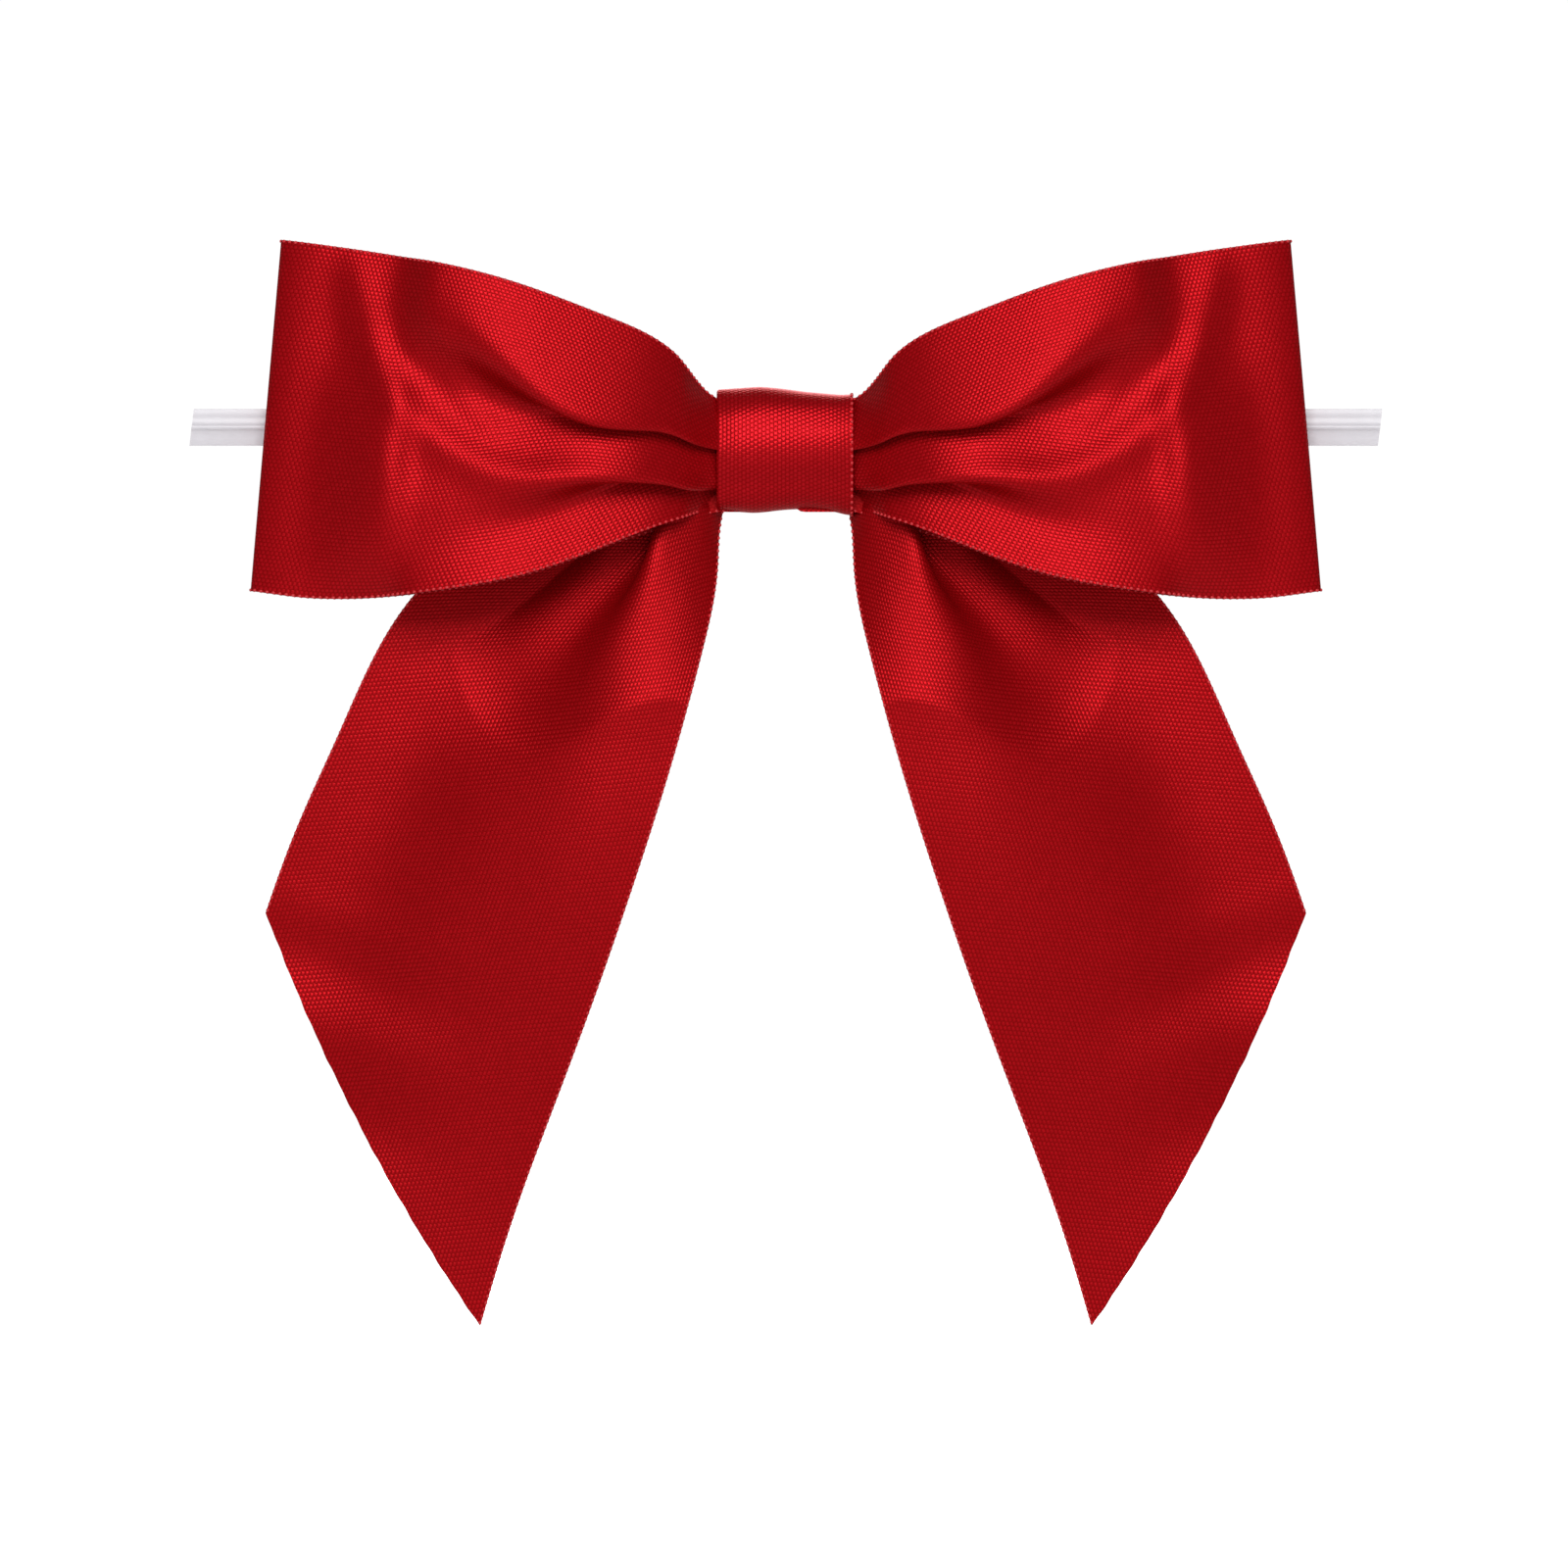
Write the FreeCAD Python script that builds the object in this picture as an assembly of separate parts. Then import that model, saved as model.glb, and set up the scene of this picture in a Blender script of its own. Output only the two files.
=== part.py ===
"""Pre-made gift bow: two ribbon loops and two tails gathered at a banded knot, on a twist tie.

Millimetres. +Z is up, the bow's front looks along -Y, and X runs along the tie. The origin is the
middle of the flat patch on the back of the knot, the face that lies against the gift.
"""
import FreeCAD
import Part
import math
import os

Vec = FreeCAD.Vector

# ---------------------------------------------------------------- driving dimensions
ribbon_thickness = 0.35      # the satin ribbon of the loops, the tails and the band
running_gap = 0.3            # least space between soft pieces that move past each other

# loops
bow_half_width = 58.35       # the loop's lower corner, from the middle of the bow
loop_top_height = 22.9       # the loop's upper corner, above the origin
loop_bottom_depth = 15.6     # the loop's lower corner, below the origin
loop_bulge = 13.6            # the loop's front, in front of the gift face
loop_fold_lean = 0.0866      # how far the outer fold leans in, for each mm of height
loop_fold_depth = 2.0        # between the middles of the front and back layers, at the outer fold
loop_root_inset = 1.4        # the loop's section starts this far inside the band's side
loop_root_depth = 1.5        # and its front layer this far behind the gathers' front
loop_back_rise = 1.3         # the back layer, further forward beside the knot than at the fold

# tails
tail_length = 95.0           # the tail's tip, below the origin
tail_reach = 56.6            # the tail's outer corner, from the middle of the bow
tail_tip_reach = 33.2        # the tail's tip, from the middle of the bow
tail_corner_depth = 50.1     # the tail's outer corner, below the origin
tail_end_height = 2.2        # the top of the tail beside the knot
tail_pivot_reach = 2.0       # what the tail fans about, from the middle of the bow
tail_pivot_depth = 1.0       # and below the origin
tail_cut_bow = 1.6           # the slanting cut's middle, outside a straight line
tail_flat_length = 36.0      # the tail stays in front of the tie this far along it
tail_lift = 0.3              # the tail's middle plane in front of the gift, at its tip
tail_curl_depth = 46.5       # the line across the ribbon where it curls, below the origin
tail_curl_reach = 35.7       # and its middle, from the middle of the bow
tail_hinge_gap = 0.4         # cut across the ribbon along that line
tail_slope_deg = 20.5        # the tail's middle line, away from straight down

# knot
knot_width = 14.8            # the band, along the tie
knot_half_height = 6.7       # the band's outside, above and below the origin
knot_depth = 7.6             # the band's front, in front of the gift face
band_front_round = 3.2       # middle line of the band's front corners
band_back_round = 2.2        # middle line of the band's back corners
band_inner_end = 2.0         # where the band starts, above the origin
band_outer_end = 3.0         # where the band stops, below the origin
glue_thickness = 0.1
glue_margin = 0.2            # the glue stays this far inside the overlap of the band's ends
glue_side_margin = 0.9       # and this far inside the band's sides
waist_gap = 0.05             # the gathered ribbon, inside the band
waist_end_gap = 0.2          # the gathered ribbon stops this far inside the band's sides
waist_back_round = 1.2       # the gathered ribbon's back corners
thread_diameter = 0.3
thread_turns = 4
thread_groove_depth = 0.35
thread_groove_width = 1.6

# twist tie
tie_length = 129.3
tie_width = 4.0
tie_wing_thickness = 0.35
tie_rib_diameter = 0.75
tie_wire_diameter = 0.4
tie_height = 2.7             # the wire, above the origin
tie_band_gap = 0.075         # the rib, in front of the band's inner end
tie_root_bend_at = 8.0       # the bend beside the knot, from the middle of the bow
tie_tip_bend_at = 30.0       # the bend further out
tie_bend_gap = 0.1           # each side of a bend

# ---------------------------------------------------------------- places worked out from them
band_half_width = knot_width / 2
half_thickness = ribbon_thickness / 2
band_outer_plane = -half_thickness
band_inner_plane = -ribbon_thickness - glue_thickness - half_thickness
band_inside_height = knot_half_height - ribbon_thickness
band_back_face = band_inner_plane - half_thickness
tie_plane = band_back_face - tie_band_gap - tie_rib_diameter / 2
tail_waist_back = tie_plane - tie_rib_diameter / 2 - tie_band_gap
tail_plane = tie_plane - tie_rib_diameter / 2 - running_gap - half_thickness - waist_gap
loop_back_plane = tail_plane - ribbon_thickness - running_gap - 2 * waist_gap
waist_front = -knot_depth + ribbon_thickness + waist_gap
waist_split = (tail_plane + loop_back_plane) / 2 - ribbon_thickness
waist_half_width = band_half_width - waist_end_gap
waist_half_height = band_inside_height - waist_gap
loop_start = band_half_width + running_gap
tail_slope = math.radians(tail_slope_deg)
tail_down = Vec(-math.sin(tail_slope), 0, -math.cos(tail_slope))
tail_across = Vec(math.cos(tail_slope), 0, -math.sin(tail_slope))
tail_pivot = Vec(-tail_pivot_reach, 0, -tail_pivot_depth)
tail_end_radius = math.hypot(band_half_width - running_gap - tail_pivot_reach,
                             knot_half_height + 0.7 - tail_pivot_depth)


# ---------------------------------------------------------------- helpers
def spline(points):
    """A smooth curve through the points."""
    curve = Part.BSplineCurve()
    curve.interpolate(points)
    return curve


def strip_face(points, thickness, across):
    """The edge-on section of a ribbon: its middle line through the points, thickness wide."""
    middle = spline(points)
    sides = ([], [])
    for point in points:
        at = middle.parameter(point)
        sideways = middle.tangent(at)[0].cross(across).normalize() * (thickness / 2)
        sides[0].append(point + sideways)
        sides[1].append(point - sideways)
    one_side, other_side = [spline(side).toShape() for side in sides]
    caps = [Part.makeLine(sides[0][end], sides[1][end]) for end in (0, -1)]
    return Part.Face(Part.Wire(Part.__sortEdges__([one_side, caps[0], other_side, caps[1]])))


def shares_of_way(start, end, shares):
    """Points between two ends: one share of the way in X, and another in Y and Z."""
    way = end - start
    return [start + Vec(way.x * across, way.y * other, way.z * other) for across, other in shares]


def front_cutter(outline):
    """The space behind and in front of an outline in the XZ plane."""
    reach = 4 * loop_bulge
    outline.translate(Vec(0, -reach / 2, 0))
    return outline.extrude(Vec(0, reach, 0))


def rounded_path(corners, radii):
    """A wire through the corners, with each inner corner turned into a tangent arc."""
    edges = []
    start = corners[0]
    for index in range(1, len(corners) - 1):
        corner, radius = corners[index], radii[index - 1]
        back = (corners[index - 1] - corner).normalize()
        ahead = (corners[index + 1] - corner).normalize()
        half_turn = back.getAngle(ahead) / 2
        reach = radius / math.tan(half_turn)
        bisector = (back + ahead).normalize()
        middle = corner + bisector * (radius / math.sin(half_turn) - radius)
        edges.append(Part.makeLine(start, corner + back * reach))
        edges.append(Part.Arc(corner + back * reach, middle, corner + ahead * reach).toShape())
        start = corner + ahead * reach
    edges.append(Part.makeLine(start, corners[-1]))
    return Part.Wire(edges)


def rounded_block(y_low, y_high, half_height, half_width, radii):
    """A block along X whose four long edges are rounded: back upper, back lower, front lower, upper."""
    corners = [Vec(-half_width, y_high, 0), Vec(-half_width, y_high, -half_height),
               Vec(-half_width, y_low, -half_height), Vec(-half_width, y_low, half_height),
               Vec(-half_width, y_high, half_height), Vec(-half_width, y_high, 0)]
    section = Part.Face(rounded_path(corners, radii))
    return section.extrude(Vec(2 * half_width, 0, 0))


def mirrored(shape):
    """The same piece on the right-hand side of the bow."""
    return shape.mirror(Vec(0, 0, 0), Vec(1, 0, 0))


def one_solid(shape):
    """The single solid of a boolean's result, as clean faces."""
    solids = shape.removeSplitter().Solids
    if len(solids) != 1:
        raise ValueError("expected one solid, found %d" % len(solids))
    return solids[0]


# ---------------------------------------------------------------- the loops
def loop_plan():
    """The loop's ribbon seen from above, at the height of its lower corner."""
    fold_radius = loop_fold_depth / 2
    fold_middle = Vec(-bow_half_width + half_thickness + fold_radius, loop_back_plane - fold_radius, 0)
    root = Vec(-band_half_width + loop_root_inset, waist_front + loop_root_depth, 0)
    bulge = Vec(fold_middle.x, -loop_bulge + half_thickness, 0)
    front = [root] + shares_of_way(root, bulge, [
        (0.117, 0.285), (0.273, 0.767), (0.468, 1.0), (0.663, 0.75), (0.82, 0.24), (0.928, -0.04)])
    fold = []
    for step in range(7):
        turn = math.radians(-90 - 30 * step)
        fold.append(fold_middle + Vec(math.cos(turn), math.sin(turn), 0) * fold_radius)
    back_start = Vec(fold_middle.x, loop_back_plane, 0)
    back_root = Vec(root.x, loop_back_plane - loop_back_rise, 0)
    back = shares_of_way(back_start, back_root, [(0.1, 0), (0.3, 0), (0.53, 0), (0.8, 0.38), (1, 1)])
    return front + fold + back


def loop_outline():
    """The loop's outline seen from the front, with its outer side left open beyond the fold."""
    beyond_fold = Vec(-4, 0, 0)
    upper_x = -bow_half_width + loop_fold_lean * (loop_top_height + loop_bottom_depth)
    upper_corner = Vec(upper_x, 0, loop_top_height)
    lower_corner = Vec(-bow_half_width, 0, -loop_bottom_depth + 0.4)
    upper_root = Vec(-loop_start, 0, knot_half_height - 0.1)
    lower_root = Vec(-loop_start, 0, -knot_half_height + 0.15)
    top = [upper_corner + beyond_fold, upper_corner] + shares_of_way(upper_corner, upper_root, [
        (0.27, 0.117), (0.54, 0.3), (0.755, 0.528), (0.915, 0.779), (1, 1)])
    bottom = [lower_root] + shares_of_way(lower_root, lower_corner, [
        (0.166, 0.283), (0.397, 0.769), (0.565, 0.954), (0.786, 1.07), (1, 1)])
    bottom.append(lower_corner + beyond_fold)
    edges = [spline(top).toShape(), Part.makeLine(upper_root, lower_root), spline(bottom).toShape(),
             Part.makeLine(bottom[-1], top[0])]
    return Part.Face(Part.Wire(edges))


def make_left_loop():
    """The ribbon's bent section, swept up along the leaning fold and cut to its outline."""
    low, high = -loop_bottom_depth - 2, loop_top_height + 2
    section = strip_face(loop_plan(), ribbon_thickness, Vec(0, 0, 1))
    section.translate(Vec(loop_fold_lean * (low + loop_bottom_depth), 0, low))
    ribbon = section.extrude(Vec(loop_fold_lean * (high - low), 0, high - low))
    return one_solid(ribbon.common(front_cutter(loop_outline())))


# ---------------------------------------------------------------- the tails
def tail_end_point(sine):
    """A point on the tail's rounded end beside the knot, centred on the pivot it fans about."""
    return tail_pivot + Vec(-math.sqrt(1 - sine * sine), 0, sine) * tail_end_radius


def tail_outline():
    """The tail seen from the front: outer edge, slanting cut, inner edge, rounded end."""
    top_sine = (tail_end_height - tail_pivot.z) / tail_end_radius
    root_top, root_middle, root_low = [tail_end_point(sine) for sine in (top_sine, -0.24, -0.78)]
    corner = Vec(-tail_reach, 0, -tail_corner_depth)
    tip = Vec(-tail_tip_reach, 0, -tail_length)
    cut_middle = (corner + tip) * 0.5 - Vec(tail_cut_bow, 0, 0)
    outer = [root_top] + shares_of_way(root_top, corner, [
        (0.233, 0.065), (0.467, 0.187), (0.668, 0.35), (0.834, 0.635), (0.934, 0.837), (1, 1)])
    inner = [tip] + shares_of_way(tip, root_low, [
        (0.111, 0.11), (0.407, 0.351), (0.599, 0.512), (0.783, 0.682), (0.937, 0.851), (0.991, 0.947),
        (1, 1)])
    edges = [spline(outer).toShape(), Part.Arc(corner, cut_middle, tip).toShape(),
             spline(inner).toShape(), Part.Arc(root_low, root_middle, root_top).toShape()]
    return Part.Face(Part.Wire(edges))


def make_left_tail():
    """The whole tail: flat past the tie, then drifting back towards the gift."""
    drift = -tail_lift - tail_plane
    drift_length = tail_length + 9 - tail_flat_length
    stations = [(-8, 0), (tail_flat_length / 3, 0)]
    for along, back in ((0, 0), (0.217, 0.35), (0.435, 0.7), (0.696, 0.9), (1, 1)):
        stations.append((tail_flat_length + drift_length * along, back))
    side = [tail_down * along + Vec(0, tail_plane + drift * back, 0) for along, back in stations]
    section = strip_face(side, ribbon_thickness, tail_across)
    section.translate(tail_across * -tail_length)
    sheet = section.extrude(tail_across * (2 * tail_length))
    return one_solid(sheet.common(front_cutter(tail_outline())))


def split_tail(tail):
    """The tail cut in two, straight across the ribbon, where it curls."""
    curl_line = Vec(-tail_curl_reach, 0, -tail_curl_depth)
    halves = []
    for side in (-1, 1):
        reach = 2 * tail_length
        block = Part.makeBox(reach, reach, reach, Vec(-reach / 2, -reach / 2, tail_hinge_gap / 2))
        turned = FreeCAD.Rotation(Vec(0, 0, 1), tail_down * side)
        block.Placement = FreeCAD.Placement(curl_line, turned)
        halves.append(one_solid(tail.common(block)))
    return halves


# ---------------------------------------------------------------- the knot
def make_knot_band():
    """One strip wound once round the gathers, its outer end glued down over its inner end."""
    left = -band_half_width
    outer_height = knot_half_height - half_thickness
    front = -knot_depth + half_thickness
    corners = [Vec(left, band_inner_plane, band_inner_end), Vec(left, band_inner_plane, -outer_height),
               Vec(left, front, -outer_height), Vec(left, front, outer_height),
               Vec(left, band_outer_plane, outer_height), Vec(left, band_outer_plane, -band_outer_end)]
    radii = [band_back_round, band_front_round, band_front_round, band_back_round]
    path = rounded_path(corners, radii)
    section = strip_from_wire(path)
    return one_solid(section.extrude(Vec(knot_width, 0, 0)))


def strip_from_wire(path):
    """The band's section: the path of lines and arcs, given the ribbon's thickness."""
    one_side = path.makeOffset2D(half_thickness, 0, False, True)
    other_side = path.makeOffset2D(-half_thickness, 0, False, True)
    ends = []
    for first, second in ((0, 0), (-1, -1)):
        ends.append(Part.makeLine(one_side.OrderedVertexes[first].Point,
                                  other_side.OrderedVertexes[second].Point))
    edges = one_side.Edges + other_side.Edges + ends
    return Part.Face(Part.Wire(Part.__sortEdges__(edges)))


def make_band_glue():
    half_width = band_half_width - glue_side_margin
    low = -band_outer_end + glue_margin
    high = band_inner_end - glue_margin
    corner = Vec(-half_width, -ribbon_thickness - glue_thickness, low)
    return Part.makeBox(2 * half_width, glue_thickness, high - low, corner)


def thread_path_block(grow, half_width):
    """The gathered bundle's outside, grown or shrunk, for the groove and for the thread."""
    radius = band_front_round - half_thickness - waist_gap + grow
    back_radius = waist_back_round + grow
    return rounded_block(waist_front - grow, tail_waist_back + grow, waist_half_height + grow,
                         half_width, [back_radius, radius, radius, back_radius])


def make_waists():
    """The gathered middles of the loop ribbon and the tail ribbon, with a groove for the thread."""
    bundle = thread_path_block(0, waist_half_width)
    groove = thread_path_block(0, thread_groove_width / 2).cut(
        thread_path_block(-thread_groove_depth, thread_groove_width / 2))
    bundle = one_solid(bundle.cut(groove))
    reach = 4 * knot_depth
    front = Part.makeBox(reach, reach, reach, Vec(-reach / 2, waist_split - reach, -reach / 2))
    back = Part.makeBox(reach, reach, reach, Vec(-reach / 2, waist_split, -reach / 2))
    return one_solid(bundle.common(front)), one_solid(bundle.common(back))


def make_binding_thread():
    """The turns of thread, side by side in the groove."""
    turns = []
    for index in range(thread_turns):
        middle = (index - (thread_turns - 1) / 2) * thread_diameter
        inside = thread_path_block(-thread_groove_depth, thread_diameter / 2)
        outside = thread_path_block(-thread_groove_depth + thread_diameter, thread_diameter / 2)
        turn = outside.cut(inside)
        turn.translate(Vec(middle, 0, 0))
        turns.append(one_solid(turn))
    return Part.makeCompound(turns)


# ---------------------------------------------------------------- the twist tie
def tie_piece(start, end):
    """The sleeve and the wire between two places along the tie."""
    length = end - start
    axis_start = Vec(start, tie_plane, tie_height)
    along = Vec(1, 0, 0)
    wings = Part.makeBox(length, tie_wing_thickness, tie_width,
                         axis_start - Vec(0, tie_wing_thickness / 2, tie_width / 2))
    rib = Part.makeCylinder(tie_rib_diameter / 2, length, axis_start, along)
    wire = Part.makeCylinder(tie_wire_diameter / 2, length, axis_start, along)
    sleeve = one_solid(wings.fuse(rib).cut(wire))
    return sleeve, wire


def tie_pieces():
    """Every stretch of the tie, by the name of its place."""
    half = tie_length / 2
    stops = {"centre": (-tie_root_bend_at + tie_bend_gap, tie_root_bend_at - tie_bend_gap),
             "right_inner": (tie_root_bend_at + tie_bend_gap, tie_tip_bend_at - tie_bend_gap),
             "right_outer": (tie_tip_bend_at + tie_bend_gap, half)}
    for place in ("inner", "outer"):
        start, end = stops["right_" + place]
        stops["left_" + place] = (-end, -start)
    return {place: tie_piece(start, end) for place, (start, end) in stops.items()}


# ---------------------------------------------------------------- all the pieces
def build():
    nodes = {}
    left_loop = make_left_loop()
    upper, lower = split_tail(make_left_tail())
    for name, left in (("loop", left_loop), ("tail_upper", upper), ("tail_lower", lower)):
        nodes["left_" + name] = left
        nodes["right_" + name] = mirrored(left)
    nodes["knot_band"] = make_knot_band()
    nodes["band_glue"] = make_band_glue()
    nodes["loop_waist"], nodes["tail_waist"] = make_waists()
    nodes["binding_thread"] = make_binding_thread()
    for place, (sleeve, wire) in tie_pieces().items():
        nodes["tie_sleeve_" + place] = sleeve
        nodes["tie_wire_" + place] = wire
    return nodes


os.makedirs("parts", exist_ok=True)
for name, shape in build().items():
    shape.exportStep("parts/%s.step" % name)
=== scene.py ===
import math

import bpy
import numpy as np
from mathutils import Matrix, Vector


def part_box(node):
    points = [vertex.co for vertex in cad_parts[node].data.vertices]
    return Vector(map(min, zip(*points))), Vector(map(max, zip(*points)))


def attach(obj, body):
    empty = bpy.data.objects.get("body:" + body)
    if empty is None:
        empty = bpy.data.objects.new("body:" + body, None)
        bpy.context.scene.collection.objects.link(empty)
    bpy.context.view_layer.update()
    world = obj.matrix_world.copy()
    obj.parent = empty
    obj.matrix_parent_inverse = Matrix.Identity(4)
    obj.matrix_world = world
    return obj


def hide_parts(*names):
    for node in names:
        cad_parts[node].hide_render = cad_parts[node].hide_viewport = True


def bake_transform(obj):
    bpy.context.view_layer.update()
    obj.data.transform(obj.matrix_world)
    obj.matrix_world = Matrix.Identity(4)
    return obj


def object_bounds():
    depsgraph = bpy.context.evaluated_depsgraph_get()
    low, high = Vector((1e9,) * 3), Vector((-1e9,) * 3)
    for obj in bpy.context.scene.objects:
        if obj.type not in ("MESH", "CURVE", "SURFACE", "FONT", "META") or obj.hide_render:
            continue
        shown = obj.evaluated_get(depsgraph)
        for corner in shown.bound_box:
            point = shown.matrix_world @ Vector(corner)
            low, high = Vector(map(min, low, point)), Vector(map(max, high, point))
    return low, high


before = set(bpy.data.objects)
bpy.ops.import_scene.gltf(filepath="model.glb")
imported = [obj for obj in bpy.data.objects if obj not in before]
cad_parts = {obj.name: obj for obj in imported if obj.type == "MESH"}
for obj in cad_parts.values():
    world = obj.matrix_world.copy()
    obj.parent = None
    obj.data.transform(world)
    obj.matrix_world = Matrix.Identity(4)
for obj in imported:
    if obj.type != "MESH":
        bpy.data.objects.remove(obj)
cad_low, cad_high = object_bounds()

MM = 0.001
bpy.ops.object.select_all(action="DESELECT")


def box_mm(node):
    """A CAD node's lowest and highest corners, in millimetres."""
    low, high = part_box(node)
    return np.array(low) / MM, np.array(high) / MM


# ---------------------------------------------------------------- sizes
ribbon_width = 38.1
cloth_thickness = 0.12
picot_pitch = 0.74
picot_half_sizes = (0.24, 0.19, 0.17)    # along the edge, outward and across the cloth
picot_sunk = 0.13            # how far a picot's middle lies inside the edge

band_low, band_high = box_mm("knot_band")
loop_low, loop_high = box_mm("left_loop")
tail_low = box_mm("left_tail_lower")[0]
sleeve_low, sleeve_high = box_mm("tie_sleeve_centre")
sleeve_end = box_mm("tie_sleeve_left_outer")[0][0]

fold_lean = 0.0866           # the outer fold leans in by this for each mm of height
fold_height = 35             # of the outer fold, near enough for its lean
fold_radius = 1.0
back_plane = -3.4            # the loop's back layer
gather_reach = 6.4           # the gathers reach this far to each side of the knot's middle
loop_corner = np.array([loop_low[0] + 0.1, loop_low[2] + 0.35])
loop_upper_corner = np.array([loop_corner[0] + fold_lean * (loop_high[2] - loop_corner[1]),
                              loop_high[2]])
loop_upper_root = np.array([band_low[0] - 0.3, band_high[2] - 0.1])
loop_lower_root = np.array([band_low[0] - 0.3, band_low[2] + 0.15])

tail_corner = np.array([tail_low[0], -50.1])
tail_tip = np.array([-33.2, tail_low[2]])
tail_inner_root = np.array([-7.1, -7.6])
tail_outer_root = np.array([-9.5, 2.2])
tail_plane = -2.15


# ---------------------------------------------------------------- curves
path_steps = 40


def ease(value, low, high):
    """0 below low, 1 above high, and a smooth rise between."""
    share = np.clip((value - low) / (high - low), 0, 1)
    return share * share * (3 - 2 * share)


def soften(values, reach):
    """A row of values averaged with its neighbours, reach samples to each side."""
    if reach < 0.3:
        return values
    span = int(3 * reach) + 1
    weights = np.exp(-0.5 * (np.arange(-span, span + 1) / reach) ** 2)
    padded = np.concatenate([np.full(span, values[0]), values, np.full(span, values[-1])])
    return np.convolve(padded, weights / weights.sum(), "valid")


def smooth_path(points, steps=path_steps):
    """A dense line through a few points, with an even bend all along."""
    points = np.array(points, float)
    reach = np.concatenate([[0], np.cumsum(np.linalg.norm(np.diff(points, axis=0), axis=1))])
    spans = np.diff(reach)
    count = len(points)
    system, wanted = np.eye(count), np.zeros_like(points)
    for index in range(1, count - 1):
        before, after = spans[index - 1], spans[index]
        system[index, index - 1:index + 2] = before, 2 * (before + after), after
        wanted[index] = 6 * ((points[index + 1] - points[index]) / after
                             - (points[index] - points[index - 1]) / before)
    bend = np.linalg.solve(system, wanted)
    rows = []
    for index, span in enumerate(spans):
        ahead = (np.arange(steps) / steps)[:, None] * span
        left = span - ahead
        rows.append((bend[index] * left ** 3 + bend[index + 1] * ahead ** 3) / (6 * span)
                    + (points[index] / span - bend[index] * span / 6) * left
                    + (points[index + 1] / span - bend[index + 1] * span / 6) * ahead)
    return np.concatenate(rows + [points[-1:]])


def lengths_of(path):
    return np.concatenate([[0], np.cumsum(np.linalg.norm(np.diff(path, axis=0), axis=1))])


def at_length(path, distance):
    """The point a distance along a path, carried straight on beyond its end."""
    reach = lengths_of(path)
    distance = np.asarray(distance, float)
    point = np.stack([np.interp(distance, reach, path[:, axis])
                      for axis in range(path.shape[1])], -1)
    ahead = (path[-1] - path[-8]) / np.linalg.norm(path[-1] - path[-8])
    return point + np.maximum(distance - reach[-1], 0)[..., None] * ahead


def part_way(start, end, shares):
    """Points between two ends: one share of the way in X, and another in Z."""
    return [start + (end - start) * np.array(share) for share in shares]


# ---------------------------------------------------------------- pleated sections
def turned_section(stops, angles, softness, count):
    """A ribbon seen edge-on: it starts at its upper edge and goes down, turned by the angles."""
    step = ribbon_width / count
    middles = (np.arange(count) + 0.5) * step
    turn = soften(np.interp(middles, stops, angles), softness / step)
    down = np.concatenate([[0], np.cumsum(-np.cos(turn) * step)])
    forward = np.concatenate([[0], np.cumsum(-np.sin(turn) * step)])
    return down, forward


def pleated_section(lobes, folds, weights, tilt, softness, chord, end_step, count, side=1):
    """Two pleats across the ribbon, closed up until its edges are a chord apart.

    lobes and folds are the lengths that show and that are folded back. end_step is how far the
    lower edge lies behind the upper one. Returns height below the upper edge, and depth.
    """
    stops, share = [], 0.0
    for index in range(3):
        stops += [share, share + lobes[index]]
        share += lobes[index]
        if index < 2:
            stops += [share, share + folds[index]]
            share += folds[index]

    def closed(amount):
        lean = tilt * 4 * amount * (1 - amount)
        angles = [1.0 * lean, 0.0, -math.pi * amount * weights[0],
                  -math.pi * amount * weights[0], 1.5 * lean, -0.5 * lean,
                  -math.pi * amount * weights[1], -math.pi * amount * weights[1],
                  -0.7 * lean, -1.8 * lean]
        return turned_section(stops, angles, softness, count)

    low, high = 0.0, 0.98
    for _ in range(28):
        middle = (low + high) / 2
        down, forward = closed(middle)
        if math.hypot(down[-1], forward[-1]) > math.hypot(chord, end_step):
            low = middle
        else:
            high = middle
    turn = math.atan2(end_step, -chord) - math.atan2(forward[-1], down[-1])
    turned_down = down * math.cos(turn) - forward * math.sin(turn)
    turned_forward = down * math.sin(turn) + forward * math.cos(turn)
    turned_forward -= turned_forward.mean()
    return turned_down, turned_forward * side


def evened(rows, reach):
    """Sections averaged with their neighbours along the ribbon."""
    span = int(3 * reach) + 1
    weights = np.exp(-0.5 * (np.arange(-span, span + 1) / reach) ** 2)
    weights /= weights.sum()
    padded = np.concatenate([np.repeat(rows[:1], span, 0), rows, np.repeat(rows[-1:], span, 0)])
    return sum(weight * padded[index:index + len(rows)] for index, weight in enumerate(weights))


def rounded_off(height):
    """How far the gathers fall back towards the band's upper and lower sides."""
    return (3.0 + 0.7 * (height < 0)) * np.clip(np.abs(height) / 6.6, 0, 1.1) ** 2.5


def along_stations(places, stations, values, reach=6):
    """Values given at a few stations, smoothed along the ribbon."""
    return soften(np.interp(places, stations, values), reach)


# ---------------------------------------------------------------- the loops
loop_rows, loop_columns = 176, 152


def loop_edge_lines():
    """The loop's upper and lower edges seen from the front."""
    upper = smooth_path([loop_upper_corner] + part_way(loop_upper_corner, loop_upper_root, [
        (0.27, 0.117), (0.54, 0.3), (0.755, 0.528), (0.915, 0.779), (1, 1)])
        + [loop_upper_root + np.array([1.5, -0.5])])
    lower = smooth_path([loop_corner] + part_way(loop_corner, loop_lower_root, [
        (0.214, -0.07), (0.435, 0.046), (0.603, 0.231), (0.834, 0.717), (1, 1)])
        + [loop_lower_root + np.array([1.5, 0.3])])
    return upper, lower


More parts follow.
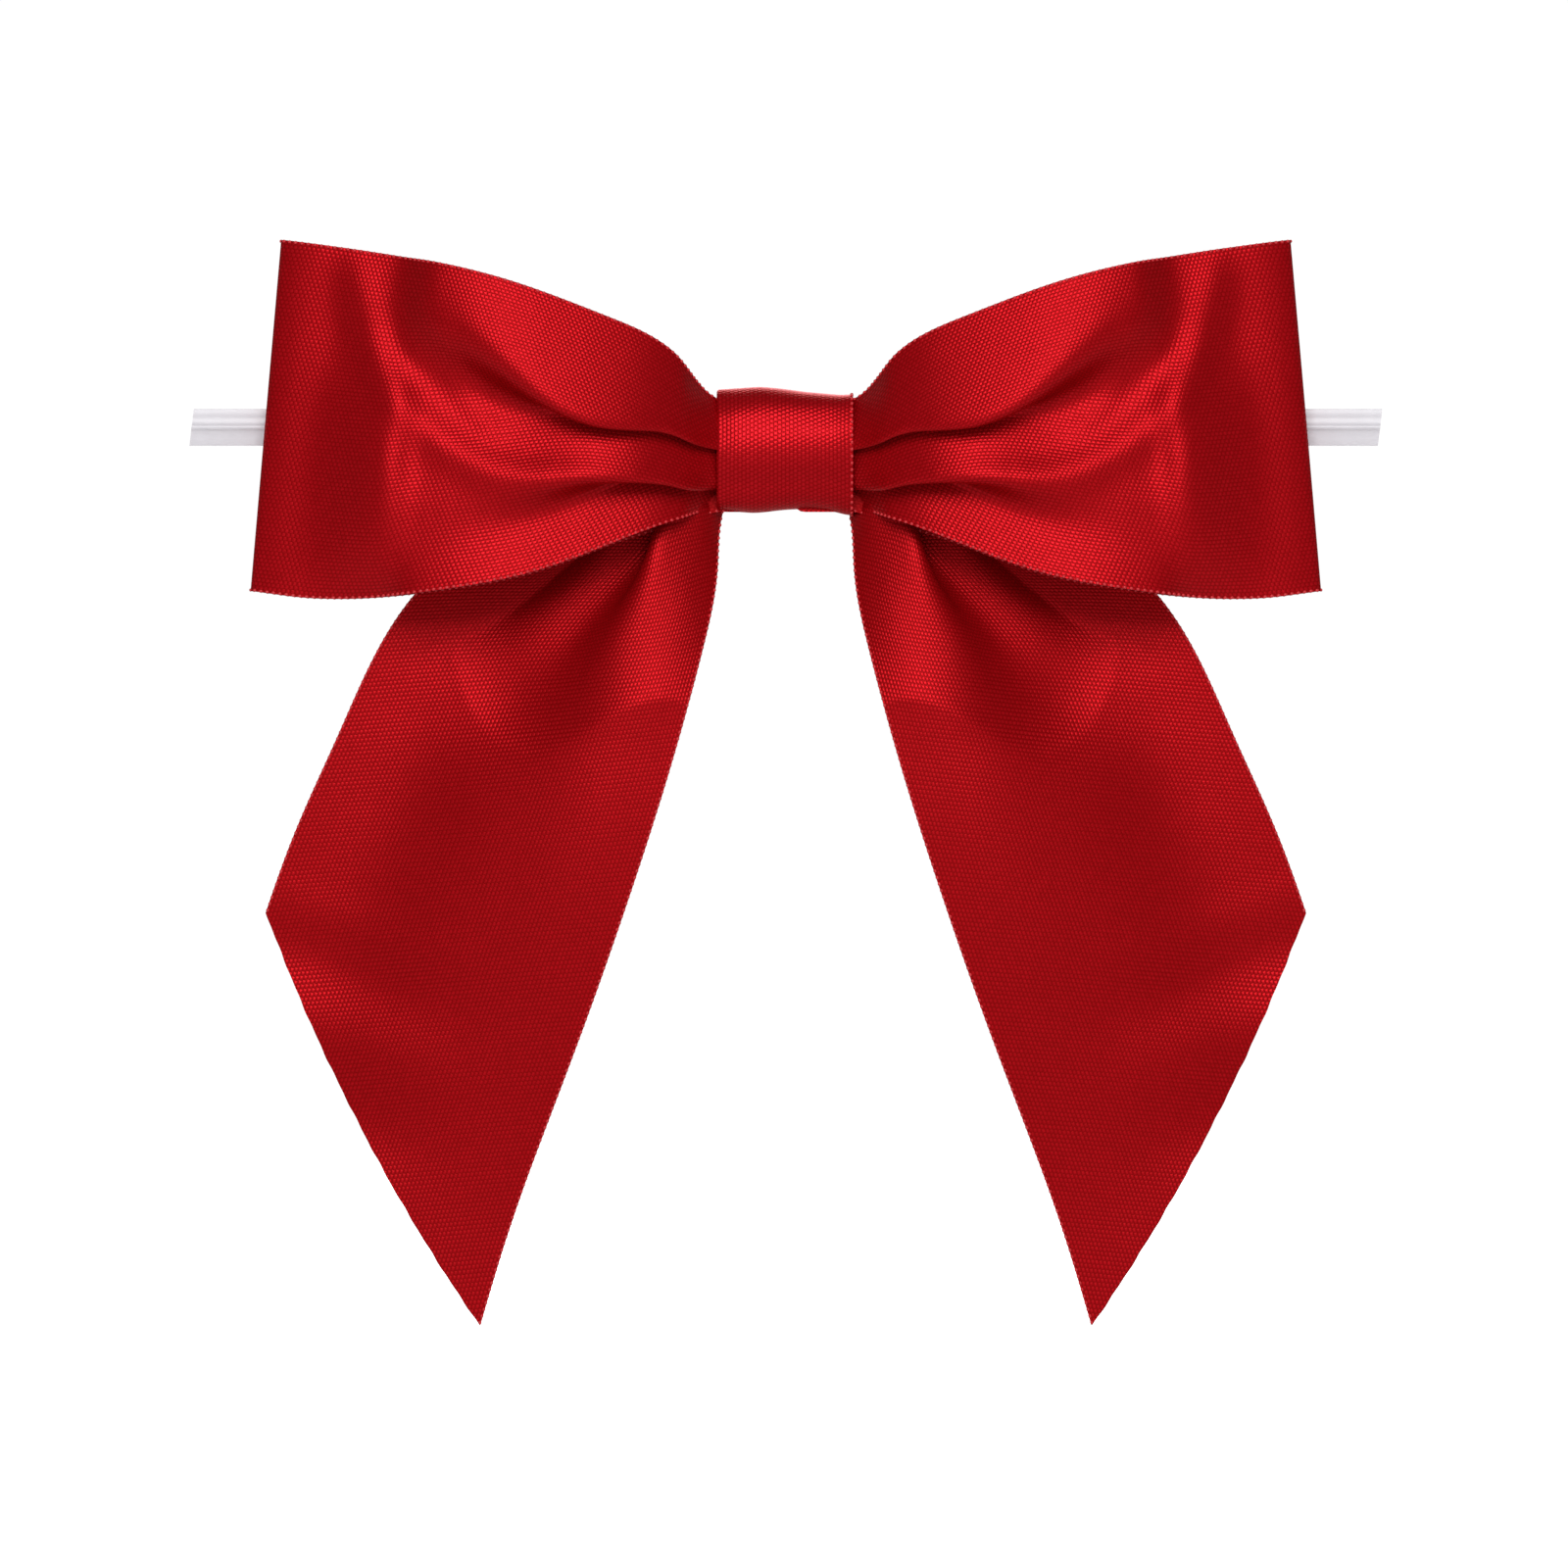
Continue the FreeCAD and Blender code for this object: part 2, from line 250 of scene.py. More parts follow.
def loop_plan():
    """The loop's ribbon seen from above: front layer, outer fold, back layer."""
    fold_x = loop_corner[0] + fold_radius + 0.1
    front = [(-gather_reach, -5.5), (-8.6, -7.0), (-11, -8.9), (-14, -10.8), (-18, -12.3),
             (-24, -13.1), (-31, -12.8), (-39, -11.5), (-46, -9.5), (-52, -7.0)]
    fold = []
    for step in range(7):
        turn = math.radians(-114 - 26 * step)
        fold.append((fold_x + fold_radius * math.cos(turn),
                     back_plane - fold_radius + fold_radius * math.sin(turn)))
    back = [(-53, back_plane), (-42, back_plane), (-30, back_plane), (-18, back_plane - 0.2),
            (-12, back_plane - 0.1), (-gather_reach, back_plane + 0.1)]
    path = smooth_path(front + fold + back)
    first_fold_point = len(front) * path_steps
    return path, lengths_of(path)[first_fold_point]


def ridge(seen, line, height, spread):
    """A soft ridge along a line in the loop's front, fading out at both ends."""
    path = smooth_path(line, 12)
    apart = np.linalg.norm(seen[:, :, None, :] - path[None, None], axis=-1)
    nearest = apart.argmin(-1)
    share = nearest / (len(path) - 1)
    fade = ease(share, -0.05, 0.15) * (1 - ease(share, 0.8, 1.05))
    return height * fade * np.exp(-(apart.min(-1) / spread) ** 2)


def loop_ridges(seen):
    """The satin's soft ridges between its pleats and its outer fold."""
    return (ridge(seen, [(-50.5, 24), (-48.6, 16), (-45.5, 9), (-41.5, 3.6), (-37, 0.0),
                         (-31.5, -2.6), (-25, -3.6), (-17, -3.4)], 0.75, 2.3)
            + ridge(seen, [(-36, -2), (-42, -6), (-48, -11), (-55, -16)], 0.12, 3.2)
            + ridge(seen, [(-40, 15), (-37.6, 9), (-34.5, 4), (-30, 0.8)], 0.25, 1.5))


def loop_surface():
    """Places over the left loop's ribbon, and their flat places on the cloth."""
    plan, fold_start = loop_plan()
    total = lengths_of(plan)[-1]
    travel = np.linspace(0, total, loop_rows + 1)
    middle = at_length(plan, travel)
    reach = -middle[:, 0]
    in_front = travel < fold_start + 1.5
    upper, lower = loop_edge_lines()
    sheared = ease(reach, 14, 52)
    top_x = -reach + sheared * fold_lean * fold_height
    top = np.interp(top_x, upper[:, 0], upper[:, 1])
    bottom = np.interp(-reach, lower[:, 0], lower[:, 1])

    stations = [6.4, 10, 14, 21, 27, 33, 39, 46, 54]
    lobe_one = along_stations(reach, stations, [6.9, 8.6, 11.5, 16.0, 14.8, 10.5, 7.4, 5.2, 5.0])
    fold_one = along_stations(reach, stations, [6.4, 5.9, 4.9, 3.3, 3.0, 3.6, 4.4, 4.0, 3.5])
    lobe_two = along_stations(reach, stations, [11.5, 11.0, 10.0, 8.3, 10.2, 13.4, 16.6, 20, 20])
    fold_two = along_stations(reach, stations, [5.95, 5.3, 4.3, 2.7, 2.6, 3.4, 4.0, 4.0, 4.0])
    weight_one = along_stations(reach, stations, [1, 1, 1, 1, 0.85, 0.6, 0.3, 0.15, 0.1])
    weight_two = along_stations(reach, stations, [1, 1, 0.95, 0.6, 0.25, 0.1, 0.05, 0.05, 0.05])
    softness = along_stations(reach, stations, [0.42, 0.45, 0.5, 0.6, 1.1, 1.7, 2.4, 2.8, 3.0])
    edge_step = along_stations(reach, stations, [1.9, 1.8, 1.5, 0.8, 0.3, 0, 0, 0, 0])
    tilt = math.radians(27)

    section = np.zeros((loop_rows + 1, loop_columns + 1, 2))
    for row in range(loop_rows + 1):
        chord = min(top[row] - bottom[row], ribbon_width - 0.01)
        if in_front[row]:
            lobes = [lobe_one[row], lobe_two[row], 0]
            lobes[2] = ribbon_width - lobes[0] - lobes[1] - fold_one[row] - fold_two[row]
            down, forward = pleated_section(
                lobes, [fold_one[row], fold_two[row]], [weight_one[row], weight_two[row]], tilt,
                softness[row], chord, edge_step[row], loop_columns)
            down *= chord / max(-down[-1], chord)
            room = 2.2 + 9 * ease(reach[row], 7.6, 15)
            forward *= min(1, room / np.ptp(forward))
            section[row] = np.stack([down, forward], -1)
        else:
            fold = max((ribbon_width - chord) / 4 + 0.5 * ease(reach[row], 10, 25), 1.6)
            lobe = (ribbon_width - 2 * fold) / 3
            down, forward = pleated_section(
                [lobe] * 3, [fold] * 2, [1, 1], math.radians(6), 0.5, chord, 0.9,
                loop_columns, side=-1)
            room = 0.9 + 3.6 * ease(reach[row], 9, 26)
            forward *= min(1, room / np.ptp(forward))
            section[row] = np.stack([down, forward - forward.max()], -1)
    section = evened(section, 2.2)
    places = np.zeros((loop_rows + 1, loop_columns + 1, 3))
    squeeze = 1 - (0.12 + 0.05 * (1 - in_front[:, None])) * (1 - ease(reach, 6.9, 12)[:, None])
    places[..., 2] = (top[:, None] + section[..., 0]) * squeeze
    near_knot = 1 - ease(reach, 7.4, 11.5)[:, None]
    places[..., 1] = middle[:, 1:2] + section[..., 1] + rounded_off(places[..., 2]) * (
        near_knot * in_front[:, None])
    front_limit = -3.9 + 3 * ease(reach, 11, 15)[:, None]
    back_limit = -3.6 - 6 * ease(reach, 9, 18)[:, None]
    past_front = np.maximum(places[..., 1] - front_limit, 0) * in_front[:, None]
    past_back = np.maximum(back_limit - places[..., 1], 0) * (1 - in_front[:, None])
    places[..., 1] += 0.6 * (past_back - past_front)
    places[..., 1] -= loop_ridges(np.stack([-np.repeat(reach[:, None], loop_columns + 1, 1),
                                            places[..., 2]], -1)) * in_front[:, None]
    places[..., 0] = middle[:, :1] + sheared[:, None] * fold_lean * (
        places[..., 2] - loop_corner[1])
    across = np.linspace(0, ribbon_width, loop_columns + 1)
    flat = np.stack(np.meshgrid(travel, across, indexing="ij"), -1)
    return places, flat


# ---------------------------------------------------------------- the tails
tail_columns = 120
tail_upper_rows, tail_lower_rows = 90, 96
tail_fan = 17.9              # the outer edge's way to the knot is longer by this
tail_fan_end = 30.0
tail_seam = 28.0             # where the two pieces of a tail meet, along the inner edge
tail_ladder = 400            # sections worked out down a tail
tail_overrun = 4             # they run on this far past the tip, for the cut
behind_loop = 9              # the tail is kept behind the loop this far down


def tail_edge_lines():
    """The tail's outer and inner edges seen from the front, from the knot down."""
    outer = [np.array([-gather_reach, 2.8]), tail_outer_root]
    outer += part_way(tail_outer_root, tail_corner, [
        (0.233, 0.065), (0.467, 0.187), (0.668, 0.35), (0.834, 0.635), (0.934, 0.837), (1, 1)])
    inner = [np.array([-gather_reach, -5.0]), tail_inner_root]
    inner += part_way(tail_inner_root, tail_tip, [
        (0.009, 0.053), (0.063, 0.149), (0.217, 0.318), (0.401, 0.488), (0.593, 0.649),
        (0.889, 0.89), (1, 1)])
    return smooth_path(outer), smooth_path(inner)


def tail_row(outer, inner, travel):
    """One section across the tail: places seen from the front, depths, and flat places.

    travel is how far down the tail's inner edge the section lies.
    """
    fanned = float(ease(travel, 0, tail_fan_end))
    start = at_length(outer, travel + tail_fan * fanned)
    end = at_length(inner, travel)
    chord = float(np.linalg.norm(end - start))
    heading = (end - start) / chord
    stations = [0, 10, 20, 30, 60]
    lobe_one, fold_one, lobe_two, fold_two, weight_one, weight_two, softness, open_share = [
        float(np.interp(travel, stations, values)) for values in (
            [7.6, 8.5, 10, 12, 13], [7.6, 6, 4.6, 4, 4], [7.6, 6, 6, 7, 8], [7.3, 6, 4.6, 3.5, 3.5],
            [1, 0.9, 0.4, 0.2, 0.2], [1, 0.95, 0.6, 0.3, 0.2], [0.42, 1.0, 2.2, 3.5, 4.5],
            [1, 1, 0.85, 0.5, 0.12])]
    closing = (1 - min(chord / ribbon_width, 1)) * open_share
    wanted = ribbon_width * (1 - max(closing, 0.0004))
    lobes = [lobe_one, lobe_two, ribbon_width - lobe_one - fold_one - lobe_two - fold_two]
    down, forward = pleated_section(lobes, [fold_one, fold_two], [weight_one, weight_two],
                                    math.radians(4), softness, wanted, 0.0, tail_columns, side=-1)
    share = down / down[-1]
    flat_plane = 1 - ease(travel, 0, 8)
    depth = forward * (0.8 * flat_plane + 0.48 * (1 - flat_plane)) * chord / wanted
    across = np.linspace(0, ribbon_width, tail_columns + 1)
    seen = start + share[:, None] * chord * heading
    flat_travel = travel - tail_fan * (1 - fanned) * (1 - across / ribbon_width)
    return seen, depth, np.stack([flat_travel, across], -1)


def tail_depth(along):
    """The tail's own plane: behind the loop, then forward as far as a slanting ridge, then back."""
    inner_side = np.linspace(ribbon_width, 0, tail_columns + 1)[None, :]
    stops = [0, 6, 16, 24, 29, 34, 38.1]
    start = np.interp(inner_side, stops, [2, 2.5, 4, 12, 16, 16, 14])
    ridge = np.interp(inner_side, stops, [22.5, 24, 35, 33, 27, 24, 22])
    forward = np.interp(inner_side, stops, [6.6, 6.7, 5.2, 2.5, 0.9, 0.1, -0.1])
    start, ridge, forward = [soften(values[0], 8)[None, :] for values in (start, ridge, forward)]
    rise = np.clip((along - start) / (ridge - start), 0, 1)
    rise = rise * (1.2 - 0.2 * rise)
    bulge = forward * rise
    drift = 1.85 * ease(along, 36, 96)
    hollow = 1.0 * np.exp(-((along - 29) / 6) ** 2 - ((inner_side - 21) / 6) ** 2)
    ripple = -0.36 * np.sin((along - 66) / 15.3 * 2 * math.pi) * ease(along, 54, 64) * ease(
        inner_side, 6, 24)
    return tail_plane + drift - bulge * (1 - 0.6 * ease(along, 30, 85)) + hollow + ripple


def tail_surface():
    """Places over the whole left tail, at every row of a fine ladder, with their flat places."""
    outer, inner = tail_edge_lines()
    travel = np.linspace(0, lengths_of(inner)[-1] + tail_overrun, tail_ladder)
    rows = [tail_row(outer, inner, float(value)) for value in travel]
    seen = np.stack([row[0] for row in rows])
    depth = np.stack([row[1] for row in rows])
    seen, depth = evened(seen, 5), evened(depth, 5)
    flat = np.stack([row[2] for row in rows])
    along = np.repeat(travel[:, None], tail_columns + 1, 1)
    depth = depth + tail_depth(along)
    tie_side = -2.1 + 3 * ease(along, 30, 60)
    loop_side = -3.3 - 4 * ease(along, 2.5, behind_loop)
    depth -= 0.93 * np.maximum(depth - tie_side, 0)
    depth += 0.85 * np.maximum(loop_side - depth, 0) * (along < behind_loop)
    return travel, np.stack([seen[..., 0], depth, seen[..., 1]], -1), flat


def cut_line(travel, places):
    """How far along each thread the slanting cut is."""
    way = tail_tip - tail_corner
    side = np.array([-way[1], way[0]]) / np.linalg.norm(way)
    offset = (places[..., [0, 2]] - tail_corner) @ side
    share = ((places[..., [0, 2]] - tail_corner) @ way) / (way @ way)
    bow = 1.6 * 4 * share * (1 - share) * (share > 0) * (share < 1)
    fray = 0.03 * np.sin(share * 61) + 0.025 * np.sin(share * 113 + 1)
    gap = offset + bow + fray
    if gap[0].mean() < 0:
        gap = -gap
    ends, uncut = [], 40
    for column in range(places.shape[1]):
        outside = np.nonzero(gap[uncut:, column] < 0)[0]
        index = uncut + outside[0] if len(outside) else len(travel) - 2
        before, after = gap[index - 1, column], gap[index, column]
        ends.append(travel[index - 1] + (travel[1] - travel[0]) * before / (before - after))
    return np.array(ends)


def tail_pieces_places():
    """The tail's two pieces, each as a grid of places and flat places."""
    travel, places, flat = tail_surface()
    ends = cut_line(travel, places)
    grids = []
    for start, end, rows in ((np.zeros_like(ends), np.full_like(ends, tail_seam), tail_upper_rows),
                             (np.full_like(ends, tail_seam), ends, tail_lower_rows)):
        share = np.linspace(0, 1, rows + 1)[:, None]
        wanted = start + (end - start) * share
        grid = np.zeros((rows + 1, tail_columns + 1, 5))
        for column in range(tail_columns + 1):
            for axis in range(3):
                grid[:, column, axis] = np.interp(wanted[:, column], travel,
                                                  places[:, column, axis])
            for axis in range(2):
                grid[:, column, 3 + axis] = np.interp(wanted[:, column], travel,
                                                      flat[:, column, axis])
        grids.append((grid[..., :3], grid[..., 3:]))
    return grids


# ---------------------------------------------------------------- meshes of ribbon
def ribbon_sheet(name, places, flat, materials, facing):
    """A grid of cloth moved to its places, given its flat UV and its thickness."""
    rows, columns = places.shape[0] - 1, places.shape[1] - 1
    bpy.ops.mesh.primitive_grid_add(x_subdivisions=rows, y_subdivisions=columns, size=1)
    sheet = bpy.context.active_object
    sheet.name = name
    mesh = sheet.data
    corners = np.zeros(len(mesh.vertices) * 3)
    mesh.vertices.foreach_get("co", corners)
    corners = corners.reshape(-1, 3)
    along = np.rint((corners[:, 0] + 0.5) * rows).astype(int)
    across = np.rint((corners[:, 1] + 0.5) * columns).astype(int)
    mesh.vertices.foreach_set("co", (places[along, across] * MM).ravel())
    owner = np.zeros(len(mesh.loops), int)
    mesh.loops.foreach_get("vertex_index", owner)
    layer = mesh.uv_layers[0]
    layer.name = "cloth"
    layer.data.foreach_set("uv", (flat[along, across] * MM)[owner].ravel())
    mesh.update()
    normal = np.zeros(len(mesh.polygons) * 3)
    mesh.polygons.foreach_get("normal", normal)
    middle = np.zeros(len(mesh.polygons) * 3)
    mesh.polygons.foreach_get("center", middle)
    if facing(middle.reshape(-1, 3) / MM, normal.reshape(-1, 3)) < 0:
        mesh.flip_normals()
    for material in materials:
        mesh.materials.append(material)
    thicken = sheet.modifiers.new("thickness", "SOLIDIFY")
    thicken.thickness = cloth_thickness * MM
    thicken.offset = -1
    thicken.material_offset = 1
    bpy.ops.object.modifier_apply(modifier="thickness")
    bpy.ops.object.shade_smooth_by_angle(angle=math.radians(62))
    return sheet


def to_the_front(middle, normal):
    """Positive where a piece's satin side looks forward."""
    near = middle[:, 1] < np.median(middle[:, 1]) - 0.2
    return -normal[near, 1].mean() if near.any() else -normal[:, 1].mean()


def outward_from(depth):
    """Positive where a wound piece's satin side looks away from its middle."""
    def measure(middle, normal):
        away = middle - np.array([0, depth, 0])
        return (away[:, 1] * normal[:, 1] + away[:, 2] * normal[:, 2]).mean()
    return measure


def bead_template():
    """One picot, as a small round bead."""
    bpy.ops.mesh.primitive_uv_sphere_add(segments=8, ring_count=4, radius=1)
    bead = bpy.context.active_object
    corners = np.array([vertex.co for vertex in bead.data.vertices])
    faces = [list(face.vertices) for face in bead.data.polygons]
    bpy.data.objects.remove(bead)
    return corners, faces


bead_corners, bead_faces = bead_template()


def picot_edge(name, edge_lines, material):
    """Picots along ribbon edges. Each line is the edge's points and points just inside it."""
    corners, faces = [], []
    half_length, half_width, half_height = picot_half_sizes
    for edge, inside in edge_lines:
        total = lengths_of(edge)[-1]
        count = int(total / picot_pitch)
        reach = (np.arange(count) + 0.5) * total / count
        middle = at_length(edge, reach)
        ahead = at_length(edge, reach + 0.1) - at_length(edge, reach - 0.1)
        ahead /= np.linalg.norm(ahead, axis=1)[:, None]
        step = lengths_of(edge)
        outward = middle - np.stack([np.interp(reach, step, inside[:, axis])
                                     for axis in range(3)], -1)
        outward -= (outward * ahead).sum(1)[:, None] * ahead
        outward /= np.maximum(np.linalg.norm(outward, axis=1), 1e-6)[:, None]
        upward = np.cross(ahead, outward)
        for index in range(count):
            first = len(corners) * len(bead_corners)
            shaped = (bead_corners[:, :1] * half_length * ahead[index]
                      + bead_corners[:, 1:2] * half_width * outward[index]
                      + bead_corners[:, 2:] * half_height * upward[index])
            corners.append(middle[index] - outward[index] * picot_sunk + shaped)
            faces += [[first + corner for corner in face] for face in bead_faces]
    mesh = bpy.data.meshes.new(name)
    mesh.from_pydata((np.concatenate(corners) * MM).tolist(), [], faces)
    mesh.materials.append(material)
    for polygon in mesh.polygons:
        polygon.use_smooth = True
    picots = bpy.data.objects.new(name, mesh)
    bpy.context.scene.collection.objects.link(picots)
    return picots


def on_side(side, places):
    """The left half's places, mirrored for the right half."""
    return places if side == "left" else places * np.array([-1, 1, 1])


# ---------------------------------------------------------------- materials
def new_material(name):
    material = bpy.data.materials.new(name)
    material.use_nodes = True
    nodes = material.node_tree.nodes
    return material, nodes, material.node_tree.links, nodes["Principled BSDF"]


def math_node(nodes, links, operation, first, second=None, clamp=False):
    """A Math node fed by sockets or numbers."""
    node = nodes.new("ShaderNodeMath")
    node.operation = operation
    node.use_clamp = clamp
    for index, source in enumerate((first, second)):
        if source is None:
            continue
        if isinstance(source, (int, float)):
            node.inputs[index].default_value = source
        else:
            links.new(source, node.inputs[index])
    return node.outputs[0]


def make_satin_weave():
    """Rows of staggered floats: how far a point is up on a thread, and a thread's own shade."""
    group = bpy.data.node_groups.new("satin_weave", "ShaderNodeTree")
    face = group.interface
    for name, value in (("Row pitch", 0.00043), ("Float pitch", 0.00052), ("Stagger", 0.36)):
        socket = face.new_socket(name=name, in_out="INPUT", socket_type="NodeSocketFloat")
        socket.default_value = value
    face.new_socket(name="UV", in_out="INPUT", socket_type="NodeSocketVector")
    face.new_socket(name="Float", in_out="OUTPUT", socket_type="NodeSocketFloat")
    face.new_socket(name="Shade", in_out="OUTPUT", socket_type="NodeSocketFloat")
    nodes, links = group.nodes, group.links
    given = nodes.new("NodeGroupInput")
    result = nodes.new("NodeGroupOutput")
    split = nodes.new("ShaderNodeSeparateXYZ")
    links.new(given.outputs["UV"], split.inputs[0])

    def calc(operation, first, second=None):
        return math_node(nodes, links, operation, first, second)

    row = calc("DIVIDE", split.outputs[1], given.outputs["Row pitch"])
    row_number = calc("FLOOR", row)
    shift = calc("MULTIPLY", row_number, given.outputs["Stagger"])
    place = calc("ADD", calc("DIVIDE", split.outputs[0], given.outputs["Float pitch"]), shift)
    row_arch = calc("SINE", calc("MULTIPLY", calc("FRACT", row), math.pi))
    float_arch = calc("SINE", calc("MULTIPLY", calc("FRACT", place), math.pi))
    full = calc("MULTIPLY", calc("POWER", row_arch, 0.7), calc("POWER", float_arch, 0.9))
    links.new(full, result.inputs["Float"])
    noise = nodes.new("ShaderNodeTexWhiteNoise")
    noise.noise_dimensions = "2D"
    pair = nodes.new("ShaderNodeCombineXYZ")
    links.new(row_number, pair.inputs[0])
    links.new(calc("FLOOR", place), pair.inputs[1])
    links.new(pair.outputs[0], noise.inputs["Vector"])
    links.new(noise.outputs["Value"], result.inputs["Shade"])
    return group


satin_weave = make_satin_weave()


def satin(name, shaded_gaps, lit, roughness, metallic, relief):
    """Satin face: a painted highlight on each float's top and painted shade between the floats."""
    material, nodes, links, shader = new_material(name)
    uv = nodes.new("ShaderNodeUVMap")
    uv.uv_map = "cloth"
    weave = nodes.new("ShaderNodeGroup")
    weave.node_tree = satin_weave
    links.new(uv.outputs[0], weave.inputs["UV"])
    cloud = nodes.new("ShaderNodeTexNoise")
    cloud.inputs["Scale"].default_value = 90
    cloud.inputs["Detail"].default_value = 3
    place = nodes.new("ShaderNodeTexCoord")
    links.new(place.outputs["Object"], cloud.inputs["Vector"])
    shade = math_node(nodes, links, "MULTIPLY_ADD", weave.outputs["Shade"], 0.3)
    shade.node.inputs[2].default_value = 0.72
    # The float's arch sets the painted highlight on its top and the painted shade between floats;
    # each thread's random tone and a soft cloud of uneven colour vary it.
    sheen_shade_and_tone = math_node(nodes, links, "MULTIPLY", weave.outputs["Float"], shade)
    drift = math_node(nodes, links, "MULTIPLY_ADD", cloud.outputs["Fac"], 0.3)
    drift.node.inputs[2].default_value = 0.85
    sheen_shade_and_tone = math_node(nodes, links, "MULTIPLY", sheen_shade_and_tone, drift, clamp=True)
    # Base colour runs from the painted shade between floats (A) to the painted highlight on their
    # tops (B).
    mix = nodes.new("ShaderNodeMix")
    mix.data_type = "RGBA"
    mix.inputs["A"].default_value = (*shaded_gaps, 1)
    mix.inputs["B"].default_value = (*lit, 1)
    links.new(sheen_shade_and_tone, mix.inputs["Factor"])
    links.new(mix.outputs["Result"], shader.inputs["Base Color"])
    rough = math_node(nodes, links, "MULTIPLY_ADD", sheen_shade_and_tone, -0.12)
    rough.node.inputs[2].default_value = roughness + 0.06
    links.new(rough, shader.inputs["Roughness"])
    bump = nodes.new("ShaderNodeBump")
    bump.inputs["Strength"].default_value = relief
    bump.inputs["Distance"].default_value = 0.00007
    links.new(weave.outputs["Float"], bump.inputs["Height"])
    links.new(bump.outputs[0], shader.inputs["Normal"])
    shader.inputs["Metallic"].default_value = metallic
    shader.inputs["Specular IOR Level"].default_value = 0.22
    shader.inputs["Specular Tint"].default_value = (1, 0.32, 0.36, 1)
    return material


def plain(name, colour, roughness, spots, metallic=0.0, scale=2500.0, relief=0.2):
    """A smooth finish with fine uneven colour and relief."""
    material, nodes, links, shader = new_material(name)
    place = nodes.new("ShaderNodeTexCoord")
    noise = nodes.new("ShaderNodeTexNoise")
    noise.inputs["Scale"].default_value = scale
    noise.inputs["Detail"].default_value = 4
    links.new(place.outputs["Object"], noise.inputs["Vector"])
    mix = nodes.new("ShaderNodeMix")
    mix.data_type = "RGBA"
    mix.inputs["A"].default_value = (*colour, 1)
    mix.inputs["B"].default_value = (*spots, 1)
    links.new(noise.outputs["Fac"], mix.inputs["Factor"])
    links.new(mix.outputs["Result"], shader.inputs["Base Color"])
    bump = nodes.new("ShaderNodeBump")
    bump.inputs["Strength"].default_value = relief
    bump.inputs["Distance"].default_value = 0.00003
    links.new(noise.outputs["Fac"], bump.inputs["Height"])
    links.new(bump.outputs[0], shader.inputs["Normal"])
    shader.inputs["Roughness"].default_value = roughness
    shader.inputs["Metallic"].default_value = metallic
    return material, shader


# Each satin's first colour is the painted shade between floats, its second the painted highlight on
# their tops.
loop_satin = satin("loop_satin", (0.24, 0.0004, 0.0010), (0.46, 0.004, 0.009), 0.35, 0.45, 0.5)
tail_satin = satin("tail_satin", (0.22, 0.0004, 0.0009), (0.42, 0.003, 0.007), 0.36, 0.45, 0.5)
band_satin = satin("band_satin", (0.24, 0.0004, 0.0010), (0.46, 0.005, 0.011), 0.33, 0.5, 0.5)
dull_back = satin("dull_back", (0.24, 0.001, 0.002), (0.36, 0.004, 0.006), 0.7, 0.1, 0.4)
picot_thread, _ = plain("picot_thread", (0.42, 0.003, 0.006), 0.45, (0.62, 0.02, 0.03), scale=900)
hot_melt, _ = plain("hot_melt", (0.72, 0.69, 0.58), 0.35, (0.8, 0.77, 0.68))
binding, _ = plain("binding", (0.26, 0.004, 0.007), 0.7, (0.40, 0.012, 0.018), relief=0.6)
galvanised, _ = plain("galvanised", (0.50, 0.50, 0.52), 0.42, (0.62, 0.62, 0.64), metallic=0.9)
clear_plastic, plastic_shader = plain("clear_plastic", (0.66, 0.64, 0.68), 0.3,
                                      (0.72, 0.70, 0.74), scale=700)
plastic_shader.inputs["Transmission Weight"].default_value = 0.12
plastic_shader.inputs["IOR"].default_value = 1.42

# ---------------------------------------------------------------- building the ribbons
loop_places, loop_flat = loop_surface()
for side, sign in (("left", -1), ("right", 1)):
    places = on_side(side, loop_places)
    ribbon = ribbon_sheet(side + "_loop_ribbon", places, loop_flat, (loop_satin, dull_back),
                          to_the_front)
    picots = picot_edge(side + "_loop_picots", [(places[:, 0], places[:, 2]),
                                                (places[:, -1], places[:, -3])], picot_thread)
    for piece in (ribbon, picots):
        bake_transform(piece)
    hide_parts(side + "_loop")

upper_grid, lower_grid = tail_pieces_places()
for side in ("left", "right"):
    for part, (places, flat) in (("upper", upper_grid), ("lower", lower_grid)):
        shaped = on_side(side, places)
        name = "%s_tail_%s" % (side, part)
        ribbon = ribbon_sheet(name + "_ribbon", shaped, flat, (tail_satin, dull_back),
                              to_the_front)
        picots = picot_edge(name + "_picots", [(shaped[:, 0], shaped[:, 2]),
                                               (shaped[:, -1], shaped[:, -3])], picot_thread)
        for piece in (ribbon, picots):
            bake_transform(piece)
        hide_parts(name)


gather_rows = 24


def pinched(section, count, depth):
    """A pleated section carried across the knot, drawn in where the thread is tied."""
    reach = np.linspace(-gather_reach, gather_reach, count + 1)
    places = np.zeros((count + 1, section.shape[0], 3))
    tight = 1 - 0.1 * np.exp(-(reach / 1.3) ** 4)
    places[..., 0] = reach[:, None]
    places[..., 1] = depth + (section[None, :, 1] - depth) * tight[:, None]
    places[..., 2] = section[None, :, 2] * tight[:, None]
    return places


for name, section, node, slot in (
        ("loop_gather_front", loop_places[0], "loop_waist", "loop_satin"),
        ("loop_gather_back", loop_places[-1], "loop_waist", "loop_satin"),
        ("tail_gather", upper_grid[0][0], "tail_waist", "tail_satin")):
    places = pinched(section, gather_rows, section[:, 1].mean())
    across = np.linspace(0, ribbon_width, section.shape[0])
    flat = np.stack(np.meshgrid(places[:, 0, 0], across, indexing="ij"), -1)
    satin_face = loop_satin if slot == "loop_satin" else tail_satin
    gather = ribbon_sheet(name, places, flat, (satin_face, dull_back), to_the_front)
    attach(gather, "knot")
    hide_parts(node)


